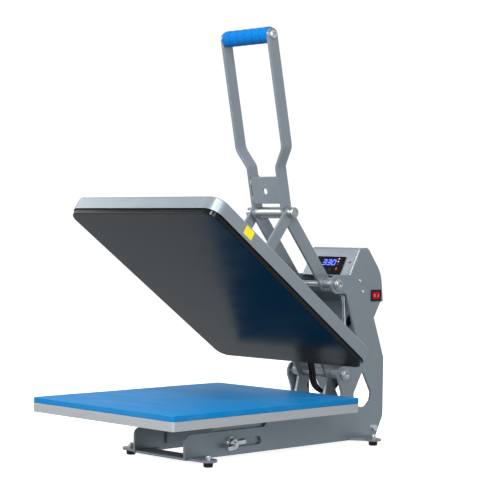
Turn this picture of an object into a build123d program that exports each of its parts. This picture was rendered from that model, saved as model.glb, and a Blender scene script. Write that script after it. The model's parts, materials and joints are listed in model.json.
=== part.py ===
from build123d import *
import os
from math import atan2, cos, degrees, hypot, pi, radians, sin

# A clamshell heat press with a 16 in x 20 in table, standing open.
# Millimetres. X runs to the right, Y runs back from the front edge of the table, Z runs up from the floor.
# save() moves every piece so that the origin lies on the floor, under the middle of the whole machine.

# ---------------------------------------------------------------- driving dimensions
TABLE_WIDTH = 406.4
TABLE_LENGTH = 508.0
TABLE_CORNER = 5.0
PAD_TOP = 118.4
PAD_THICK = 11.4
PLATEN_THICK = 17.5
MACHINE_DEPTH = 738.1

FRAME_OUTER = 74.7
FRAME_THICK = 5.3
FRAME_INNER = FRAME_OUTER - FRAME_THICK
FRAME_FRONT = 150.3
FRAME_REAR = 736.7
FRAME_BOTTOM = 9.8
RAIL_TOP = 58.8
SHOULDER_TOP = 80.0
GAP = 0.3
RUN = 0.05

HINGE = (608.0, 150.2)
LEVER_PIVOT = (582.0, 341.0)
ELBOW = (458.0, 489.3)
GRIP = (381.0, 846.0)
OPEN_ANGLE = 34.84
SHAFT_R = 6.0
ARM_INNER = 38.0
ARM_OUTER = 44.0
LINK_INNER = 46.0
LINK_OUTER = 52.0
HANDLE_SPREAD = 24.6
BAR_WIDTH = 27.0

COVER_WIDTH = 419.3
COVER_LENGTH = 535.5
COVER_HEIGHT = 27.7
COVER_CORNER = 28.0
COVER_REAR = 521.6
COVER_RIM = 131.9
COVER_SHEET = 1.5
HEAT_INSET = 3.0
HEAT_BOTTOM = 120.9
HEAT_TOP = 140.9
COVER_TOP = COVER_RIM + COVER_HEIGHT
COVER_MID = COVER_REAR - COVER_LENGTH / 2

LINK_FOOT = (283.6, 201.6)
STRUT_TOP = (624.0, 322.0)
STRUT_FOOT = (677.3, 96.1)
STRUT_X = 57.0

FOOT_X = 111.2
FRONT_FOOT_Y = 177.0
REAR_FOOT_Y = 662.5
FOOT_HEIGHT = 9.2
FRONT_TAB = (158.0, 212.0)
REAR_TAB = (626.0, 699.0)
BAR_THICK = 5.0

CLAMP_Y = 273.0
CLAMP_Z = 33.2
SLOT_HALF_HEIGHT = 8.0
SLOT_END = 358.0

REAR_TIE = (708.0, 30.5)
MIDDLE_TIE = (503.0, 42.0)

BOX_HALF = FRAME_INNER
BOX_SHEET = 1.6
BOX_BEND = 6.0
PANEL_BOTTOM = (626.0, 357.5)
PANEL_TOP = (660.5, 418.5)
DISPLAY_X = 1.3
DISPLAY_RISE = 24.3
DISPLAY_SIZE = (79.5, 43.3)
KEY_SPOTS = {"mode_key": (-23.0, -11.5), "down_key": (-8.0, -11.5), "up_key": (7.0, -11.5)}
LED_SPOTS = [(23.7, 16.0), (24.0, 9.3), (24.4, 2.7)]

TABLE_SCREWS = [(x, y) for x in (-45, 45) for y in (255, 410)]
CARRIAGE = (232.0, 432.0)
CABLE_SPOTS = (16.4, 25.8)
CABLE_R = 4.0
GLAND_R = 5.2
CABLE_ENTRY = 265.0
GLAND_Z = 148.0
BRACKET_RISE = 49.2


# ---------------------------------------------------------------- helpers
def save(shape, name):
    """Write one piece, or one group of like pieces, in the machine's own frame."""
    moved = Pos(0, -MACHINE_DEPTH / 2, 0) * shape
    export_step(Compound(label=name, children=moved.solids()), f"parts/{name}.step")


def outline(points, plane=Plane.YZ):
    """A face from (across, up, corner radius) points; radius 0 keeps a corner sharp."""
    wire = FilletPolyline([(a, b) for a, b, _ in points], radius=[r for _, _, r in points], close=True)
    return plane * make_face(wire)


def slab(face_points, low, high):
    """Side-view outline given thickness from X = low to X = high."""
    return extrude(outline(face_points, Plane.YZ.offset(low)), high - low)


def sheet_strip(points, radius, thick, low, high):
    """Bent sheet: a side-view path thickened inwards and stretched from X = low to X = high."""
    path = FilletPolyline(points, radius=radius)
    face = make_face(Plane.YZ.offset(low) * offset(path, amount=thick, side=Side.RIGHT))
    return extrude(face, high - low, dir=(1, 0, 0))


def rod_x(centre, radius, low, high):
    """Round bar along X through (Y, Z) = centre."""
    middle = Pos((low + high) / 2, centre[0], centre[1])
    return middle * Rot(0, 90, 0) * Cylinder(radius, high - low)


def tube_x(centre, radius, bore, low, high):
    return rod_x(centre, radius, low, high) - rod_x(centre, bore, low - 1, high + 1)


def rod_y(x, z, radius, low, high):
    return Pos(x, (low + high) / 2, z) * Rot(90, 0, 0) * Cylinder(radius, high - low)


def rod_z(x, y, radius, low, high):
    return Pos(x, y, (low + high) / 2) * Cylinder(radius, high - low)


def block(x0, x1, y0, y1, z0, z1):
    return Pos((x0 + x1) / 2, (y0 + y1) / 2, (z0 + z1) / 2) * Box(x1 - x0, y1 - y0, z1 - z0)


def hex_x(centre, across_flats, low, high):
    face = Plane.YZ.offset(low) * Pos(*centre) * RegularPolygon(across_flats / 2, 6, major_radius=False)
    return extrude(face, high - low)


def both_sides(shape):
    return shape + mirror(shape, Plane.YZ)


def open_up(shape):
    """Turn a piece of the clamshell from its closed place to the open rest pose."""
    back = Pos(0, HINGE[0], HINGE[1])
    return back * Rot(-OPEN_ANGLE, 0, 0) * back.inverse() * shape


def open_point(point):
    """Where a side-view point of the closed clamshell lies at rest."""
    a = radians(-OPEN_ANGLE)
    y, z = point[0] - HINGE[0], point[1] - HINGE[1]
    return HINGE[0] + y * cos(a) - z * sin(a), HINGE[1] + y * sin(a) + z * cos(a)


def slot_face(start, end, width):
    """Side-view face with round ends, from start to end."""
    turn = degrees(atan2(end[1] - start[1], end[0] - start[0]))
    length = hypot(end[0] - start[0], end[1] - start[1])
    return Pos(*start) * Rot(0, 0, turn) * Pos(length / 2, 0) * SlotCenterToCenter(length, width)


def button_head(centre, radius, face_x, height):
    """Low domed screw head with a socket, standing on a face that looks along +X."""
    head = rod_x(centre, radius, face_x, face_x + height)
    head = fillet(head.faces().sort_by(Axis.X)[-1].edges(), height * 0.6)
    return head - hex_x(centre, radius * 0.9, face_x + height * 0.45, face_x + height + 1)


# ---------------------------------------------------------------- base and frame
def frame_plate(side):
    """L-shaped side plate: low rail, column, lower ear for the hinge and upper ear for the lever."""
    hy, hz = HINGE
    ly, lz = LEVER_PIVOT
    ear = 17.9
    top = 19.5
    points = [
        (FRAME_FRONT, FRAME_BOTTOM, 3),
        (FRAME_FRONT, RAIL_TOP, 14),
        (366, RAIL_TOP, 8),
        (388, SHOULDER_TOP, 14),
        (602, SHOULDER_TOP, 10),
        (602, 112, 20),
        (hy - ear, 141, 14),
        (hy - ear, hz + ear, ear - 0.4),
        (656, hz + ear, 16),
        (656, 201, 18),
        (610.5, lz - top, 6),
        (ly - top, lz - top, top - 0.2),
        (ly - top, lz + top, top - 0.2),
        (666, lz + top, 24),
        (FRAME_REAR, 181, 8),
        (FRAME_REAR, 56, 26),
        (712, FRAME_BOTTOM, 4),
    ]
    plate = slab(points, FRAME_INNER, FRAME_OUTER)
    plate -= slab(teardrop(), FRAME_INNER - 1, FRAME_OUTER + 1)
    for pivot in (HINGE, LEVER_PIVOT):
        plate -= rod_x(pivot, SHAFT_R, FRAME_INNER - 1, FRAME_OUTER + 1)
    plate -= rod_x(REAR_TIE, 4.0, FRAME_INNER - 1, FRAME_OUTER + 1)
    for low, high in (FRONT_TAB, REAR_TAB):
        plate -= block(0, 100, low, high, 0, FRAME_BOTTOM + BAR_THICK)
    if side > 0:
        plate -= clamp_slot()
        return plate
    return mirror(plate, Plane.YZ)


def teardrop():
    """Weight-saving window in the foot of each column."""
    return [(668, 156, 5), (640, 109, 0.5), (640, 78, 26), (696, 78, 26), (696, 109, 0.5)]


def clamp_slot():
    start = CLAMP_Y
    end = SLOT_END - SLOT_HALF_HEIGHT
    face = Plane.YZ.offset(FRAME_INNER - 1) * Pos((start + end) / 2, CLAMP_Z)
    return extrude(face * SlotCenterToCenter(end - start, 2 * SLOT_HALF_HEIGHT), FRAME_THICK + 2)


def foot_bar(foot_y, inner_low, inner_high, tab_ends):
    """Flat cross bar under the side plates, with a flared tab out to each foot."""
    tab_front, tab_rear = tab_ends
    inner = block(-FRAME_INNER, FRAME_INNER, inner_low, inner_high, FRAME_BOTTOM, FRAME_BOTTOM + BAR_THICK)
    half = 17.0
    tab = [
        (FRAME_INNER - 5, tab_front, 0),
        (FRAME_OUTER + 2, tab_front, 12),
        (FOOT_X - 8, foot_y - half, 14),
        (FOOT_X + half, foot_y - half, half - 0.5),
        (FOOT_X + half, foot_y + half, half - 0.5),
        (FOOT_X - 8, foot_y + half, 14),
        (FRAME_OUTER + 2, tab_rear, 12),
        (FRAME_INNER - 5, tab_rear, 0),
    ]
    tab = extrude(outline(tab, Plane.XY.offset(FRAME_BOTTOM)), BAR_THICK)
    bar = inner + both_sides(tab)
    for x in (-FOOT_X, FOOT_X):
        bar -= rod_z(x, foot_y, 3.2, 0, 30)
    return bar


def at_feet(shape):
    """Copies of one small piece at the four feet."""
    spots = [(x, y) for x in (-FOOT_X, FOOT_X) for y in (FRONT_FOOT_Y, REAR_FOOT_Y)]
    return Compound(children=[Pos(x, y, 0) * shape for x, y in spots])


def rubber_foot():
    foot = Cone(8.8, 9.8, FOOT_HEIGHT, align=(Align.CENTER, Align.CENTER, Align.MIN))
    foot = fillet(foot.faces().sort_by(Axis.Z)[0].edges(), 1.2)
    return foot - rod_z(0, 0, 2.9, 4, FOOT_HEIGHT + 1)


def foot_bolt():
    """Stud moulded into the foot, with its collar under the tab and its dome nut on top."""
    base = FRAME_BOTTOM + BAR_THICK
    bolt = rod_z(0, 0, 2.9, 4, base + 1)
    bolt += rod_z(0, 0, 11, FOOT_HEIGHT, FRAME_BOTTOM)
    bolt += extrude(Plane.XY.offset(base) * RegularPolygon(5, 6, major_radius=False), 5)
    dome = rod_z(0, 0, 4.4, base + 4, base + 9.2)
    return bolt + fillet(dome.faces().sort_by(Axis.Z)[-1].edges(), 3.8)


def rear_tie_bar():
    y, z = REAR_TIE
    bar = block(-FRAME_INNER, FRAME_INNER, y - 8.7, y + 8.7, z - 9, z + 9)
    return bar - rod_x(REAR_TIE, 4.0, -80, 80)


def tie_bolts():
    bolt = rod_x(REAR_TIE, 4.0, FRAME_INNER - 24, FRAME_OUTER) + hex_x(REAR_TIE, 13, FRAME_OUTER, FRAME_OUTER + 5.3)
    return both_sides(bolt)


def middle_tie_bar():
    return tube_x(MIDDLE_TIE, 9, 6.5, -FRAME_INNER, FRAME_INNER)


# ---------------------------------------------------------------- fixed shafts
def fixed_shaft(pivot):
    """Ground shaft through both side plates, held by a button screw on a domed collar at each end."""
    shaft = rod_x(pivot, SHAFT_R, -FRAME_OUTER, FRAME_OUTER)
    collar = rod_x(pivot, 12.2, FRAME_OUTER, FRAME_OUTER + 4.5)
    collar = fillet(collar.faces().sort_by(Axis.X)[-1].edges(), 1.0)
    return shaft + both_sides(collar + button_head(pivot, 9.8, FRAME_OUTER + 4, 4.5))


def outer_spacers(pivot, radius):
    """The pair of fixed tubes between the moving plates and the side plates."""
    return both_sides(tube_x(pivot, radius, SHAFT_R, ARM_OUTER + GAP, FRAME_INNER))


# ---------------------------------------------------------------- magnet catch
def magnet_bracket():
    y, z = REAR_TIE
    face = y - 8.7
    plate = block(-30, 30, face - 5, face, z - 9, 88)
    plate = fillet(plate.edges().filter_by(Axis.Y).group_by(Axis.Z)[-1], 12)
    return plate - rod_y(0, 62, 3.1, face - 10, face + 10)


def electromagnet():
    face = REAR_TIE[0] - 8.7 - 5
    body = rod_y(0, 62, 24, face - 26, face)
    groove = rod_y(0, 62, 18, face - 27, face - 24.5) - rod_y(0, 62, 10, face - 28, face - 20)
    return body - groove + rod_y(0, 62, 3.1, face - 1, face + 9) + rod_y(0, 62, 6, face + 5, face + 9)


# ---------------------------------------------------------------- control box
def box_end(side):
    """End panel of the control box, running down behind the side plate to the chin."""
    points = [
        (PANEL_BOTTOM[0], PANEL_BOTTOM[1], 2),
        (PANEL_TOP[0], PANEL_TOP[1], 9),
        (686, 418.5, 16),
        (731, 364, 70),
        (738.3, 303, 2),
        (729.5, 301, 1),
        (706, 263, 2),
        (676, 263, 6),
        (676, 306, 4),
        (664, 346, 4),
    ]
    low, high = BOX_HALF - BOX_SHEET, BOX_HALF
    panel = slab(points, low, high)
    return panel if side > 0 else mirror(panel, Plane.YZ)


def bent_corner(path, radius):
    """Bar along the right-hand end of the front and top panels, and the same bar with its outer edge rounded."""
    bar = sheet_strip(path, radius, BOX_BEND, BOX_HALF - BOX_BEND, BOX_HALF)
    line = Plane.YZ.offset(BOX_HALF) * FilletPolyline(path, radius=radius)
    outer = bar.edges().filter_by(lambda e: e.length > 2 and line.distance_to(e.center()) < 0.01)
    return bar, fillet(outer, BOX_BEND - 0.5)


def control_box_shell():
    """Front, top and end panels with the wall of the column below, and the openings for what they carry."""
    path = [(692, 206), (688, 300), (662, 322), (662, 351), PANEL_BOTTOM, PANEL_TOP, (678, 418.5)]
    shell = sheet_strip(path, [8, 8, 3, 1.9, 9], BOX_SHEET, -BOX_HALF, BOX_HALF) + box_end(1) + box_end(-1)
    bar, rounded = bent_corner(path[4:], [9])
    shell = shell - both_sides(bar) + both_sides(rounded)
    shell -= on_panel(DISPLAY_X, DISPLAY_RISE, block(-35, 35, -18, 18, -6, 6))
    shell -= on_panel(56.2, 34, rod_z(0, 0, 2.2, -6, 6))
    for x in CABLE_SPOTS:
        shell -= rod_y(x, CABLE_ENTRY, CABLE_R + 2.5, 680, 700)
    return shell - block(BOX_HALF - 5, BOX_HALF + 1, 700, 728, 305.5, 325.5)


def on_panel(x, rise, shape):
    """Place a shape on the sloping front panel: its Z points out of the panel, rise is up the slope."""
    slope = atan2(PANEL_TOP[1] - PANEL_BOTTOM[1], PANEL_TOP[0] - PANEL_BOTTOM[0])
    y = PANEL_BOTTOM[0] + rise * cos(slope)
    z = PANEL_BOTTOM[1] + rise * sin(slope)
    plane = Plane(origin=(x, y, z), x_dir=(1, 0, 0), z_dir=(0, -sin(slope), cos(slope)))
    return plane * shape


def rear_cover():
    """Curved back of the control box, stepping in to a chin and running down inside the column."""
    path = [(678, 418.5), (686, 418.5), (731, 364), (738.3, 303), (729.5, 301), (704, 260), (733.5, 184), (733.5, 165)]
    half = BOX_HALF - BOX_SHEET
    cover = sheet_strip(path, [16, 70, 1.9, 2, 3, 6], BOX_SHEET, -half, half)
    for row in range(5):
        cover -= block(-42, -6, 720, 745, 318 + 7 * row, 321 + 7 * row)
    return cover - block(20, 46, 700, 740, 208, 228)


def circuit_board():
    """Board behind the display, with its larger components, on four pillars."""
    board = block(-33, 33, -16, 16, -12, -10.4)
    for x, y, w, h, t in ((-22, 6, 12, 12, 4), (-3, -7, 16, 6, 3), (18, 5, 8, 10, 6)):
        board += block(x - w / 2, x + w / 2, y - h / 2, y + h / 2, -12 - t, -12)
    for x in (-30, 30):
        for y in (-13, 13):
            board += rod_z(x, y, 2, -10.4, -4)
    return on_panel(DISPLAY_X, DISPLAY_RISE, board)


def relay_block():
    """Relay that feeds the heater, bolted to the right-hand end of the box through its heat sink."""
    body = block(BOX_HALF - BOX_SHEET - 24, BOX_HALF - BOX_SHEET - 6, 676, 700, 336, 384)
    sink = block(BOX_HALF - BOX_SHEET - 6, BOX_HALF - BOX_SHEET, 672, 704, 332, 388)
    return body + sink


def display_panel():
    """Raised black fascia with the bores that the keys travel in and the shallow digit window."""
    w, h = DISPLAY_SIZE
    face = fillet(block(-w / 2, w / 2, -h / 2, h / 2, 0, 2).edges().filter_by(Axis.Z), 1.5)
    face += block(-34.5, 34.5, -17.5, 17.5, -4, 0)
    for x, y in KEY_SPOTS.values():
        face -= rod_z(x, y, 3.8, -5, 3)
    for x, y in LED_SPOTS:
        face += fillet(rod_z(x, y, 1.3, 1, 2.6).faces().sort_by(Axis.Z)[-1].edges(), 0.4)
    face -= block(-27, 20.5, 0, 18, 1.5, 3)
    return on_panel(DISPLAY_X, DISPLAY_RISE, face)


def key(spot):
    cap = fillet(rod_z(0, 0, 3.7, -3.4, 2.9).faces().sort_by(Axis.Z)[-1].edges(), 0.6)
    return on_panel(DISPLAY_X, DISPLAY_RISE, Pos(*spot, 0) * cap)


def switch_bezel():
    """Frame of the mains switch, snapped into the right-hand end of the box."""
    rim = fillet(block(BOX_HALF, BOX_HALF + 1.8, 697.5, 730.5, 303, 328).edges().filter_by(Axis.X), 2)
    body = block(BOX_HALF - 16, BOX_HALF, 700, 728, 305.5, 325.5)
    return rim + body - block(BOX_HALF - 13, BOX_HALF + 3, 702, 726, 307.5, 323.5)


def switch_rocker():
    """Rocker that tips about an upright line through its middle, with its front half pressed in."""
    x = BOX_HALF
    plan = [(x - 8, 708, 2), (x + 0.6, 703.4, 0.8), (x + 1.4, 714, 0), (x + 4.2, 723.2, 0.8), (x - 8, 720, 2)]
    return extrude(outline(plan, Plane.XY.offset(308)), 15)


def mains_inlet():
    """Fused three-pin inlet in the back of the column."""
    y = 733.5
    flange = fillet(block(15, 51, y, y + 3, 203, 233).edges().filter_by(Axis.Y), 3)
    body = block(20, 46, y - 24, y, 208, 228)
    cup = fillet(block(22, 44, y - 17, y + 4, 211, 225).edges().filter_by(Axis.Y), 2)
    inlet = flange + body - cup
    for x, z in ((27, 216), (39, 216), (33, 221)):
        inlet += block(x - 1, x + 1, y - 18, y - 3, z - 2, z + 2)
    return inlet


def box_screws():
    """Two screws on each side hold the box between the ears of the side plates."""
    spots = [(654.3, 348.4), (664.0, 325.0)]
    right = Compound(children=[button_head(spot, 3.6, FRAME_OUTER, 2.4) for spot in spots])
    return both_sides(right)


# ---------------------------------------------------------------- table
def table_plate(low, high, corner):
    plate = block(-TABLE_WIDTH / 2, TABLE_WIDTH / 2, 0, TABLE_LENGTH, low, high)
    return fillet(plate.edges().filter_by(Axis.Z), corner)


def silicone_pad():
    pad = table_plate(PAD_TOP - PAD_THICK, PAD_TOP, TABLE_CORNER)
    return fillet(pad.faces().sort_by(Axis.Z)[-1].edges(), 1.0)


def lower_platen():
    top = PAD_TOP - PAD_THICK
    plate = table_plate(top - PLATEN_THICK, top, TABLE_CORNER)
    for x, y in TABLE_SCREWS:
        plate -= rod_z(x, y, 3.0, 0, top - 4)
    return plate


def carriage():
    """Inverted channel that slides between the side plates and carries the table."""
    top = PAD_TOP - PAD_THICK - PLATEN_THICK
    low, high = CARRIAGE
    half = FRAME_INNER - 0.6
    body = block(-half, half, low, high, 22, top)
    body -= block(-half + 4, half - 4, low - 1, high + 1, 0, top - 5)
    body = fillet(body.edges().filter_by(Axis.Y).group_by(Axis.Z)[-1], 3)
    for x, y in TABLE_SCREWS:
        body -= rod_z(x, y, 3.0, 60, 100)
    return body - rod_x((CLAMP_Y, CLAMP_Z), 5.0, half - 6, half + 6)


def table_screws():
    """Four screws up through the carriage into the table."""
    top = PAD_TOP - PAD_THICK - PLATEN_THICK
    screw = rod_z(0, 0, 3.0, top - 5, top + 12) + rod_z(0, 0, 5, top - 9, top - 5)
    return Compound(children=[Pos(x, y, 0) * screw for x, y in TABLE_SCREWS])


def clamp_stud():
    """Stud welded to the carriage; it leaves through the slot in the right-hand side plate."""
    spot = (CLAMP_Y, CLAMP_Z)
    inner = FRAME_INNER - 0.6
    return rod_x(spot, 5.0, inner - 10, FRAME_OUTER + 18) + hex_x(spot, 14, inner - 10, inner - 4)


def wing_nut():
    """Wing nut with its washer face, which locks the carriage in its slot."""
    y, z = CLAMP_Y, CLAMP_Z
    base = FRAME_OUTER + GAP
    hub = rod_x((y, z), 11, base + 2, base + 13)
    hub = fillet(hub.faces().sort_by(Axis.X)[-1].edges(), 2.5)
    wing = [
        (base + 3.5, y + 5, 0), (base + 5, y + 11, 2), (base + 9, y + 23, 5),
        (base + 22, y + 26, 6), (base + 22, y + 16, 5), (base + 12, y + 5, 2)]
    wing = fillet(extrude(outline(wing, Plane.XY.offset(z - 4)), 8).edges().group_by(Axis.Z)[-1], 2)
    nut = hub + wing + mirror(wing, Plane.XZ.offset(-y))
    turn = Pos(0, y, z) * Rot(16, 0, 0) * Pos(0, -y, -z)
    return rod_x((y, z), 14, base, base + 2) + turn * nut - rod_x((y, z), 5.0 + RUN, base - 1, base + 30)


# ---------------------------------------------------------------- clamshell, modelled closed
def arm_plate(side):
    """Boomerang plate: nose over the heater, eye on the hinge shaft, tail down to the magnet catch."""
    hy, hz = HINGE
    fy, fz = LINK_FOOT
    sy, sz = STRUT_FOOT
    points = [
        (fy - 90, COVER_TOP, 4),
        (fy - 90, fz - 18, 14),
        (fy - 16, fz + 14, 14),
        (fy + 20, fz + 14, 14),
        (500, 206, 40),
        (hy + 22, hz + 22, 20),
        (hy + 22, hz - 22, 12),
        (sy + 10, sz + 8, 8),
        (sy + 8, sz - 11, 8),
        (660, 84, 0),
        (660, 40, 5),
        (632, 40, 8),
        (610.3, 103, 30),
        (598.8, 132.6, 8),
        (586, 139, 10),
        (546, COVER_TOP, 14),
    ]
    plate = slab(points, ARM_INNER, ARM_OUTER)
    plate -= rod_x(HINGE, SHAFT_R + RUN, 30, 50)
    plate -= rod_x(LINK_FOOT, 5, 30, 50)
    plate -= rod_x(STRUT_FOOT, 4, 30, 50)
    return plate if side > 0 else mirror(plate, Plane.YZ)


def hinge_sleeve():
    return tube_x(HINGE, 9.5, SHAFT_R + RUN, -ARM_INNER, ARM_INNER)


def arm_cross_plate():
    """Plate on the cover that ties the two arm plates together and takes the pressure screw."""
    plate = block(-ARM_INNER, ARM_INNER, COVER_MID - 60, COVER_MID + 90, COVER_TOP, COVER_TOP + 8)
    return plate - rod_z(0, COVER_MID, 7, COVER_TOP - 5, COVER_TOP + 20)


def arm_pins():
    """Pins set in the arm plates: two that the toggle links close on and two for the feet of the struts."""
    link = rod_x(LINK_FOOT, 5, ARM_INNER - 4, ARM_OUTER + 1) + rod_x(LINK_FOOT, 9, ARM_INNER - 4, ARM_INNER)
    strut = rod_x(STRUT_FOOT, 4, ARM_INNER - 3, STRUT_X - 4.8) + rod_x(STRUT_FOOT, 7, ARM_INNER - 3, ARM_INNER)
    return both_sides(Compound(children=[link, strut]))


def armature_plate():
    plate = block(-ARM_OUTER, ARM_OUTER, 660, 667.6, 40, 84)
    return fillet(plate.edges().filter_by(Axis.Y).group_by(Axis.Z)[0], 4)


def heater_cover():
    """Pressed cover over the heater, open underneath, with its back wall cut for the cable."""
    low, high = COVER_REAR - COVER_LENGTH, COVER_REAR
    half = COVER_WIDTH / 2
    outer = block(-half, half, low, high, COVER_RIM, COVER_TOP)
    outer = fillet(outer.edges().filter_by(Axis.Z), COVER_CORNER)
    outer = fillet(outer.faces().sort_by(Axis.Z)[-1].edges(), 3.5)
    t = COVER_SHEET
    inner = block(-half + t, half - t, low + t, high - t, COVER_RIM - 1, COVER_TOP - t)
    inner = fillet(inner.edges().filter_by(Axis.Z), COVER_CORNER - t)
    cover = outer - inner
    cover -= rod_z(0, COVER_MID, 7, COVER_TOP - 5, COVER_TOP + 5)
    for x in CABLE_SPOTS:
        cover -= rod_y(x, GLAND_Z, GLAND_R, high - 5, high + 5)
    return cover


def heat_platen():
    low = COVER_REAR - COVER_LENGTH + HEAT_INSET
    half = COVER_WIDTH / 2 - HEAT_INSET
    plate = block(-half, half, low, COVER_REAR - HEAT_INSET, HEAT_BOTTOM, HEAT_TOP)
    plate = fillet(plate.edges().filter_by(Axis.Z), COVER_CORNER - HEAT_INSET)
    return fillet(plate.faces().sort_by(Axis.Z)[0].edges(), 2.0)


def heating_element():
    """Rod element laid on the platen in a long zigzag."""
    points = []
    for run in range(6):
        reach = 150 if run % 2 else -150
        y = COVER_MID - 175 + 70 * run
        points += [(reach, y), (-reach, y)]
    path = Plane.XY.offset(HEAT_TOP + 3.2) * FilletPolyline(points, radius=20)
    return sweep(Plane(origin=path @ 0, z_dir=path % 0) * Circle(3.2), path=path)


def insulation_sheet():
    z = HEAT_TOP + 6.4
    sheet = block(-190, 190, COVER_MID - 245, COVER_MID + 240, z, COVER_TOP - COVER_SHEET)
    return sheet - rod_z(0, COVER_MID, 8.5, z - 5, z + 15)


def pressure_screw():
    """Threaded rod from the cross plate down to the heater."""
    return rod_z(0, COVER_MID, 7, HEAT_TOP, COVER_TOP + 36)


def pressure_knob():
    """Lobed hand knob that runs on the pressure screw."""
    base = COVER_TOP + 14
    knob = rod_z(0, COVER_MID, 26, base, base + 20)
    for n in range(8):
        a = radians(45 * n)
        knob -= rod_z(31 * cos(a), COVER_MID + 31 * sin(a), 9, base - 1, base + 21)
    knob = fillet(knob.faces().sort_by(Axis.Z)[-1].edges(), 2)
    knob += rod_z(0, COVER_MID, 12, base - 5.5, base)
    return knob - rod_z(0, COVER_MID, 7 + RUN, base - 10, COVER_TOP + 50)


def cable_gland():
    """Double gland in the back wall of the cover; the cables leave it towards the hinge."""
    y = COVER_REAR
    left, right = [rod_y(x, GLAND_Z, GLAND_R, y - 6, y + 14) + rod_y(x, GLAND_Z, GLAND_R + 1.5, y, y + 7)
                   for x in CABLE_SPOTS]
    gland = left + right
    for x in CABLE_SPOTS:
        gland -= rod_y(x, GLAND_Z, CABLE_R, y - 10, y + 20)
    return gland


def plain_patch():
    """Plain patch on the right-hand wall of the cover, near its front."""
    face = Plane.YZ.offset(COVER_WIDTH / 2) * Pos(86, COVER_RIM + 15.2) * RectangleRounded(25, 17.5, 1.5)
    return extrude(face, 0.2)


# ---------------------------------------------------------------- lever and toggle links
def on_handle(distance, shape):
    """Place a shape on the handle: its Y runs up the bars from the elbow, its Z faces the operator."""
    lean = atan2(GRIP[1] - ELBOW[1], GRIP[0] - ELBOW[0])
    place = (0, ELBOW[0] + distance * cos(lean), ELBOW[1] + distance * sin(lean))
    return Plane(origin=place, x_dir=(1, 0, 0), z_dir=(0, -sin(lean), cos(lean))) * shape


def lever_arm(side):
    """Elbowed flat bar: from the top pivot forward to the elbow, then up to the grip, joggled outwards."""
    length = hypot(GRIP[0] - ELBOW[0], GRIP[1] - ELBOW[1])
    low, high = ARM_INNER, ARM_OUTER
    shape = slot_face(LEVER_PIVOT, ELBOW, 30) + slot_face(ELBOW, GRIP, BAR_WIDTH)
    blank = extrude(Plane.YZ.offset(low - 1) * shape, HANDLE_SPREAD + 10)
    path = [(low, -250), (low, 98), (low + HANDLE_SPREAD, 136), (low + HANDLE_SPREAD, length + 50)]
    section = offset(FilletPolyline(path, radius=[18, 24]), amount=high - low, side=Side.RIGHT)
    bar = blank & on_handle(0, extrude(make_face(section), 200, both=True))
    bar -= rod_x(LEVER_PIVOT, SHAFT_R + RUN, 30, 60)
    bar -= rod_x(ELBOW, 6, 30, 60)
    bar -= rod_x(GRIP, 5, 50, 80)
    return bar if side > 0 else mirror(bar, Plane.YZ)


def handle_bracket():
    """Channel welded between the lower ends of the two bars, with one round hole in its web."""
    body = block(-ARM_INNER, ARM_INNER, -28.3, 28.3, -12, 12.5)
    body -= block(-ARM_INNER + 4, ARM_INNER - 4, -30, 30, -14, 8.5)
    body = fillet(body.edges().filter_by(Axis.Y).group_by(Axis.X)[0].sort_by(Axis.Z)[-1], 3)
    return on_handle(BRACKET_RISE, body - rod_z(0, -2.4, 6.3, 0, 20))


def grip_rod():
    """Rod between the tops of the bars, with a button screw at each end."""
    half = ARM_OUTER + HANDLE_SPREAD
    return rod_x(GRIP, 5, -half, half) + both_sides(button_head(GRIP, 8.5, half, 4.5))


def foam_grip():
    """Soft ribbed sleeve on the grip rod."""
    half = ARM_INNER + HANDLE_SPREAD
    sleeve = tube_x(GRIP, 16.6, 5, -half, half)
    for n in range(5):
        x = (n - 2) * 21.0
        sleeve -= tube_x(GRIP, 20, 15.2, x - 1.5, x + 1.5)
    return sleeve


def elbow_shaft():
    return rod_x(ELBOW, 6, -LINK_OUTER - 13, LINK_OUTER + 13)


def elbow_sleeve():
    """Tube between the bars, with a bright washer at each end."""
    sleeve = tube_x(ELBOW, 12, 6, -ARM_INNER + 2, ARM_INNER - 2)
    return sleeve + both_sides(tube_x(ELBOW, 13, 6, ARM_INNER - 2, ARM_INNER))


def elbow_collars():
    """Shaft collars outside the links, each with its set-screw hole, and the washers inside them."""
    collar = tube_x(ELBOW, 11, 6, LINK_OUTER + GAP, LINK_OUTER + 14)
    collar = chamfer(collar.faces().sort_by(Axis.X)[-1].edges().sort_by(SortBy.LENGTH)[-1], 1.2)
    collar -= Pos(LINK_OUTER + 7, ELBOW[0], ELBOW[1]) * Rot(60, 0, 0) * Pos(0, 0, 10) * Cylinder(2, 9)
    washer = tube_x(ELBOW, 10, 6, ARM_OUTER, LINK_INNER - GAP)
    return both_sides(Compound(children=[collar, washer]))


def toggle_links():
    """The pair of links from the elbow to the arm plates, each with the button screw at its foot."""
    foot = open_point(LINK_FOOT)
    link = extrude(Plane.YZ.offset(LINK_INNER) * slot_face(ELBOW, foot, 24), LINK_OUTER - LINK_INNER)
    link -= rod_x(ELBOW, SHAFT_R + RUN, LINK_INNER - 1, LINK_OUTER + 1)
    return both_sides(link + button_head(foot, 9, LINK_OUTER, 5))


# ---------------------------------------------------------------- gas struts
def strut_line():
    return STRUT_TOP, open_point(STRUT_FOOT)


def on_strut(shape):
    """Place a shape on the right-hand strut: its Z runs down from the upper pin to the lower one."""
    top, foot = strut_line()
    down = Vector(0, foot[0] - top[0], foot[1] - top[1]).normalized()
    return Plane(origin=(STRUT_X, top[0], top[1]), x_dir=(1, 0, 0), z_dir=down) * shape


def strut_rods():
    """Polished rods, each with its eye on the upper stud."""
    rod = rod_z(0, 0, 4, 5, 200) + rod_z(0, 0, 6, 7.5, 16) + Rot(0, 90, 0) * Cylinder(8, 10)
    rod -= Rot(0, 90, 0) * Cylinder(3.5 + RUN, 12)
    return both_sides(on_strut(rod))


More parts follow.
